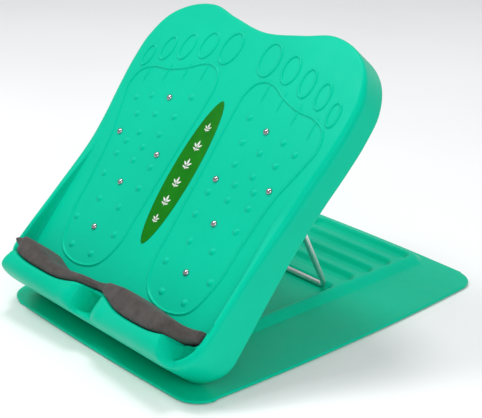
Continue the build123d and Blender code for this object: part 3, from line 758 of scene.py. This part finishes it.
for k in range(6):
    v = LEAF_LOW + 29.0 + k * 19.6
    size = 1.0 if 0 < k < 5 else 0.8
    upright = math.pi / 2
    petal(0.0, v + 1.2, 6.2 * size, 2.3 * size, upright)
    for hand in (-1, 1):
        wide, wider = upright - hand * math.radians(52), upright - hand * math.radians(70)
        petal(hand * 3.0 * size, v - 1.0, 5.4 * size, 1.9 * size, wide)
        petal(hand * 2.5 * size, v - 4.6 * size, 4.2 * size, 1.5 * size, wider)
    petal(0.0, v - 4.2 * size, 5.6 * size, 0.8 * size, upright)
sprig_obj = sprig.object("leaf_print", PRINT)
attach(sprig_obj, "board")

# ------------------------------------------------------------------ massage beads
BEAD_RADIUS, BEAD_RISE, BEAD_WAIST, BEAD_LOW = 3.2, 2.15, 0.25, -2.1
bead_shape = [(3.15, BEAD_LOW), (BEAD_RADIUS, BEAD_WAIST)]
bead_shape += [(BEAD_RADIUS * math.cos(t), BEAD_WAIST + BEAD_RISE * math.sin(t))
               for t in np.linspace(0, math.pi / 2, 11)[1:-1]]
for hand, word in ((-1, "left"), (1, "right")):
    for number, (x, y) in enumerate(BEADS, start=1):
        bead = Skin()
        lanes = []
        for r, h in bead_shape:
            lanes.append(bead.ring([board(hand * x + ex, y + ey, h) for ex, ey in circle(r, 40)]))
        for a, b in zip(lanes, lanes[1:]):
            bead.band(a, b)
        bead.cap(lanes[-1], board(hand * x, y, BEAD_WAIST + BEAD_RISE))
        bead.cap(lanes[0], board(hand * x, y, BEAD_LOW), flip=True)
        obj = bead.object(f"bead_{word}_{number}_dome", BEAD_STEEL)
        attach(obj, "board")
        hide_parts(f"bead_{word}_{number}")

# ------------------------------------------------------------------ base plate
base = Skin()
half_x, half_y = 145.0, 191.0


def base_outline():
    """Crowned rectangle with round corners, counter-clockwise from the front edge's left end."""
    pts = []
    n = 90
    corner_r = 22.0
    edges = [((-half_x, -half_y), (half_x, -half_y), (0, -3.5)),
             ((half_x, -half_y), (half_x, half_y), (7.0, 0)),
             ((half_x, half_y), (-half_x, half_y), (0, 3.5)),
             ((-half_x, half_y), (-half_x, -half_y), (-7.0, 0))]
    raw = []
    for a, b, bulge in edges:
        a, b, bulge = np.array(a), np.array(b), np.array(bulge)
        for t in np.linspace(0, 1, n, endpoint=False):
            raw.append(a + (b - a) * t + bulge * (1 - (2 * t - 1) ** 2))
    raw = np.array(raw)
    for k in range(4):
        a = raw[k * n: (k + 1) * n]
        corner_after = raw[((k + 1) * n) % (4 * n)]
        clear_of_start = np.linalg.norm(a - a[0], axis=1) > corner_r
        clear_of_end = np.linalg.norm(a - corner_after, axis=1) > corner_r
        kept = a[clear_of_start & clear_of_end]
        pts.extend(kept)
        nxt = raw[((k + 1) * n) % (4 * n):][:n] if k < 3 else raw[:n]
        nxt_kept = nxt[np.linalg.norm(nxt - nxt[0], axis=1) > corner_r]
        p0, p1 = kept[-1], nxt_kept[0]
        d0, d1 = kept[-1] - kept[-2], nxt_kept[1] - nxt_kept[0]
        d0, d1 = d0 / np.linalg.norm(d0), d1 / np.linalg.norm(d1)
        turn = math.acos(float(np.clip(d0 @ d1, -1, 1)))
        chord = np.linalg.norm(p1 - p0)
        r = chord / (2 * math.sin(turn / 2))
        centre = p0 + np.array([-d0[1], d0[0]]) * r
        a0 = math.atan2(*(p0 - centre)[::-1])
        for t in np.linspace(0, turn, 20)[1:-1]:
            pts.append(centre + r * np.array([math.cos(a0 + t), math.sin(a0 + t)]))
    return np.array(pts)


plan = base_outline()
plan_n = normals_of(plan)
TOP, FLOOR, FLANGE, UNDERSIDE = 10.5, 5.0, 3.6, 1.0
# the flange's rounded edge as (distance in from the outline, height)
levels = [(3.0, UNDERSIDE), (0.7, 1.0), (0.2, 1.2), (0.0, 1.7), (0.0, 2.4), (0.12, 2.9), (0.5, 3.35),
          (1.2, 3.6), (2.4, 3.62), (6.0, FLANGE)]
loops = []
for inset, height in levels:
    loops.append(base.ring([world(x, y, height) for x, y in plan + plan_n * inset]))
for a, b in zip(loops, loops[1:]):
    base.band(a, b)
base.fill(loops[-1], plan + plan_n * levels[-1][0], lambda x, y: world(x, y, FLANGE), 9.0)
base.fill(loops[0], plan + plan_n * levels[0][0], lambda x, y: world(x, y, UNDERSIDE), 9.0, flip=True)

# the raised frame with its recess and four notches, as one moulded relief
FRAME = (0.0, 23.0, 79.0, 163.0, 14.0)         # centre x, y, half sizes at the foot, corner radius
RECESS = (0.0, -36.35, 69.0, 95.65, 7.0)
NOTCH_Y = [81.6 + 28.1 * k for k in range(4)]


def box_distance(x, y, shape):
    """Distance from a rounded rectangle's edge, negative inside."""
    cx, cy, hx, hy, r = shape
    qx, qy = abs(x - cx) - (hx - r), abs(y - cy) - (hy - r)
    return math.hypot(max(qx, 0), max(qy, 0)) + min(max(qx, qy), 0) - r


def slope(d, run, height, soft):
    """A drafted wall of a given run and height with soft corners; d is positive outside its top edge."""
    x = min(max(d / run, -0.4), 1.4)
    a = soft / run
    t = 0.5 * (x + math.sqrt(x * x + a * a)) - 0.5 * a
    u = 1.0 - t
    u = 0.5 * (u + math.sqrt(u * u + a * a)) - 0.5 * a
    return height * min(max(u, 0.0), 1.0)


def relief(x, y):
    """Height of the base's upper side: raised frame, less the recess and the notches."""
    outer = box_distance(x, y, FRAME)
    z = FLANGE + slope(outer + 5.8, 7.6, TOP - FLANGE, 2.6)
    cut = slope(-box_distance(x, y, RECESS), 3.6, 1.0, 0.9)
    for cy in NOTCH_Y:
        d = box_distance(x, y, (0.0, cy, 69.0, 10.0, 9.99))
        cut = min(cut, slope(-d, 3.4, 1.0, 1.0))
    return z - (TOP - FLOOR) * (1.0 - cut)


# a net over the raised frame, fine where its walls are and coarse between them
xs = [*np.arange(-84.0, -52.0, 0.8), *np.arange(-52.0, 52.0, 3.25), *np.arange(52.0, 84.01, 0.8)]
ys = [*np.arange(-145.0, -120.0, 0.9), *np.arange(-120.0, 46.0, 4.15), *np.arange(46.0, 191.01, 0.8)]
rows = []
for y in ys:
    row = []
    for x in xs:
        z = relief(x, y)
        outside = box_distance(x, y, FRAME)
        row.append(world(x, y, z - (0.25 * ramp(outside, 1.5, 4.5) if outside > 1.5 else 0.0)))
    rows.append(base.ring(row))
for a, b in zip(rows, rows[1:]):
    base.band(a, b, closed=False)
base_obj = base.object("base_plate_shell", GREEN_BASE)
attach(base_obj, "base")
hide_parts("base_plate")

lugs = Skin()
hy, hz = HINGE
arm = [(hy, hz + EYE_RADIUS), (hy + 15.6, hz + EYE_RADIUS), (hy + 27.0, hz - 3.25), (hy + 27.0, 2.0),
       (hy + 15.6, 2.0), (hy + 15.6, hz - 5.0), (hy + 4.5, hz - 5.0)]
arm += [(hy + EYE_RADIUS * math.cos(t), hz + EYE_RADIUS * math.sin(t))
        for t in np.linspace(-math.radians(60), -math.radians(268), 22)]
around = 36
for hand in (-1, 1):
    x0, x1 = sorted((hand * 96.0, hand * 104.0))
    count = len(arm)
    hole = [(hy + ey, hz + ez) for ey, ez in circle(ROD_HOLE, around)]
    arm_edges = [(i, (i + 1) % count) for i in range(count)]
    hole_edges = [(count + i, count + (i + 1) % around) for i in range(around)]
    faces = delaunay_2d_cdt([Vector(p) for p in arm + hole], arm_edges + hole_edges, [], 3, 1e-6)
    sides = []
    for x in (x0, x1):
        k = lugs.ring([world(x, p.x, p.y) for p in faces[0]])
        sides.append(k)
        for f in faces[2]:
            c = sum((faces[0][i] for i in f), Vector((0, 0))) / len(f)
            if (c - Vector((hy, hz))).length > 2.5:
                lugs.faces.append(tuple(k[i] for i in f) if x == x1 else tuple(k[i] for i in reversed(f)))
    for loop, flip in ((range(count), True), (range(count, count + around), False)):
        loop = list(loop)
        lugs.band([sides[0][i] for i in loop], [sides[1][i] for i in loop], flip=flip)
lug_obj = bevel(lugs.object("base_lugs", GREEN_BASE, shade=False), 0.5)
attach(lug_obj, "base")


# ------------------------------------------------------------------ wire bail
def bail_point(x, s):
    """A point of the bail's own plane, across and down the legs from the pivot, and the legs' length."""
    py = FACE_Y + PIVOT[0] * math.cos(TILT) - PIVOT[1] * math.sin(TILT)
    pz = FACE_Z + PIVOT[0] * math.sin(TILT) + PIVOT[1] * math.cos(TILT)
    cy, cz = BAR_Y, FLOOR + WIRE_RADIUS + BAR_GAP
    length = math.hypot(cy - py, cz - pz)
    return np.array(world(x, py + (cy - py) / length * s, pz + (cz - pz) / length * s)), length


_, LEG = bail_point(0, 0)
path = []


def arc(cx, cs, start, stop, count=10):
    """Adds one rounded corner to the wire's path."""
    for t in np.linspace(math.radians(start), math.radians(stop), count):
        path.append((cx + WIRE_BEND * math.cos(t), cs + WIRE_BEND * math.sin(t)))


for x in np.linspace(-WIRE_END_X, -BEND_X, 5):
    path.append((x, 0.0))
arc(-LEG_X - WIRE_BEND, WIRE_BEND, -90, 0)
for s in np.linspace(12.0, LEG - 12.0, 30):
    path.append((-LEG_X, s))
arc(-LEG_X + WIRE_BEND, LEG - WIRE_BEND, 180, 90)
for x in np.linspace(-50.0, 50.0, 22):
    path.append((x, LEG))
arc(LEG_X - WIRE_BEND, LEG - WIRE_BEND, 90, 0)
for s in np.linspace(LEG - 12.0, 12.0, 30):
    path.append((LEG_X, s))
arc(LEG_X + WIRE_BEND, WIRE_BEND, 180, 270)
for x in np.linspace(BEND_X, WIRE_END_X, 5):
    path.append((x, 0.0))
centre = np.array([bail_point(*p)[0] for p in path])
across = np.array([1.0, 0.0, 0.0])
down = bail_point(0, 1.0)[0] - bail_point(0, 0.0)[0]
plane_n = np.cross(across, down)
plane_n /= np.linalg.norm(plane_n)
wire = Skin()
wire_r = WIRE_RADIUS * MM
lanes = []
along = np.gradient(centre, axis=0)
along /= np.linalg.norm(along, axis=1)[:, None]
for i, c in enumerate(centre):
    side_dir = np.cross(along[i], plane_n)
    shrink = 0.86 if i in (0, len(centre) - 1) else 1.0
    s_at = path[i][1]
    shrink *= 1.0 + 0.12 * ramp(s_at, 10.0, 22.0) * ramp(s_at, LEG - 4.0, LEG - 14.0)
    lanes.append(wire.ring([tuple(c + wire_r * shrink * (math.cos(t) * side_dir + math.sin(t) * plane_n))
                            for t in np.linspace(0, 2 * math.pi, 28, endpoint=False)]))
for a, b in zip(lanes, lanes[1:]):
    wire.band(a, b)
wire.cap(lanes[0], tuple(centre[0] - along[0] * 0.2 * MM), flip=True)
wire.cap(lanes[-1], tuple(centre[-1] + along[-1] * 0.2 * MM))
wire_obj = wire.object("support_bail_wire", WIRE)
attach(wire_obj, "bail")
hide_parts("support_bail")

# ------------------------------------------------------------------ small fittings kept from the solids
kept_solids = {
    "hinge_rod": ZINC,
    "rod_cap_left": ZINC,
    "rod_cap_right": ZINC,
    "clip_screws": ZINC,
    "bail_clip_left": GREEN,
    "bail_clip_right": GREEN,
    "foot_front_left": RUBBER,
    "foot_front_right": RUBBER,
    "foot_rear_left": RUBBER,
    "foot_rear_right": RUBBER,
}
for name, material in kept_solids.items():
    node = frame["nodes"][name]
    node.data.materials.clear()
    node.data.materials.append(material)

# ------------------------------------------------------------------ floor, light and camera
mat, nodes, links, bsdf = principled("studio_floor")
tone = noise(nodes, links, 3.0, 2.0)
coloured(nodes, links, bsdf, tone, (0.93, 0.935, 0.94), (0.95, 0.95, 0.95))
links.new(mapped(nodes, links, tone, 0.55, 0.7).outputs["Result"], bsdf.inputs["Roughness"])
floor = Skin()
edge = [floor.ring([(x, y, -0.0002) for x, y in ((-9.0, -6.0), (9.0, -6.0), (9.0, 9.0), (-9.0, 9.0))])]
floor.faces.append(tuple(edge[0]))
floor_obj = floor.object("studio_floor", mat, shade=False)
floor_obj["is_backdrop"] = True

bpy.context.scene.view_settings.view_transform = "Standard"
bpy.context.scene.view_settings.look = "None"

world_data = bpy.data.worlds.new("studio")
bpy.context.scene.world = world_data
world_data.use_nodes = True
world_data.node_tree.nodes["Background"].inputs["Color"].default_value = (0.97, 0.98, 1.0, 1)
world_data.node_tree.nodes["Background"].inputs["Strength"].default_value = 0.54


def lamp(name, place, aim, size, power, colour=(1, 1, 1)):
    data = bpy.data.lights.new(name, "AREA")
    data.shape = "RECTANGLE"
    data.size, data.size_y = size
    data.energy = power
    data.color = colour
    obj = bpy.data.objects.new(name, data)
    obj.location = place
    obj.rotation_mode = "QUATERNION"
    obj.rotation_quaternion = (Vector(aim) - Vector(place)).to_track_quat("-Z", "Y")
    bpy.context.scene.collection.objects.link(obj)
    obj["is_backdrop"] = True


lamp("key", (-0.75, -0.68, 1.50), (0, 0, 0.1), (0.40, 0.40), 8.5)
lamp("top", (-0.35, 0.10, 1.75), (0, 0, 0.1), (0.45, 0.45), 9.5)
lamp("rear", (0.25, 1.30, 0.45), (0, 0.2, 0.0), (1.2, 0.12), 0.8)
lamp("fill", (1.35, -0.65, 0.90), (0, 0, 0.12), (0.9, 0.9), 9)

cam_data = bpy.data.cameras.new("camera")
cam_data.sensor_width = 36.0
cam_data.lens = 93.2863
cam = bpy.data.objects.new("camera", cam_data)
right = Vector((0.6689, 0.7433, 0.0100)).normalized()
back = Vector((0.6858, -0.6223, 0.3775)).normalized()
up = back.cross(right).normalized()
right = up.cross(back)
cam.matrix_world = Matrix((
    (right.x, up.x, back.x, 0.8437),
    (right.y, up.y, back.y, -0.7735 + SHIFT * MM),
    (right.z, up.z, back.z, 0.5537),
    (0, 0, 0, 1),
))
bpy.context.scene.collection.objects.link(cam)
bpy.context.scene.camera = cam

low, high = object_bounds()
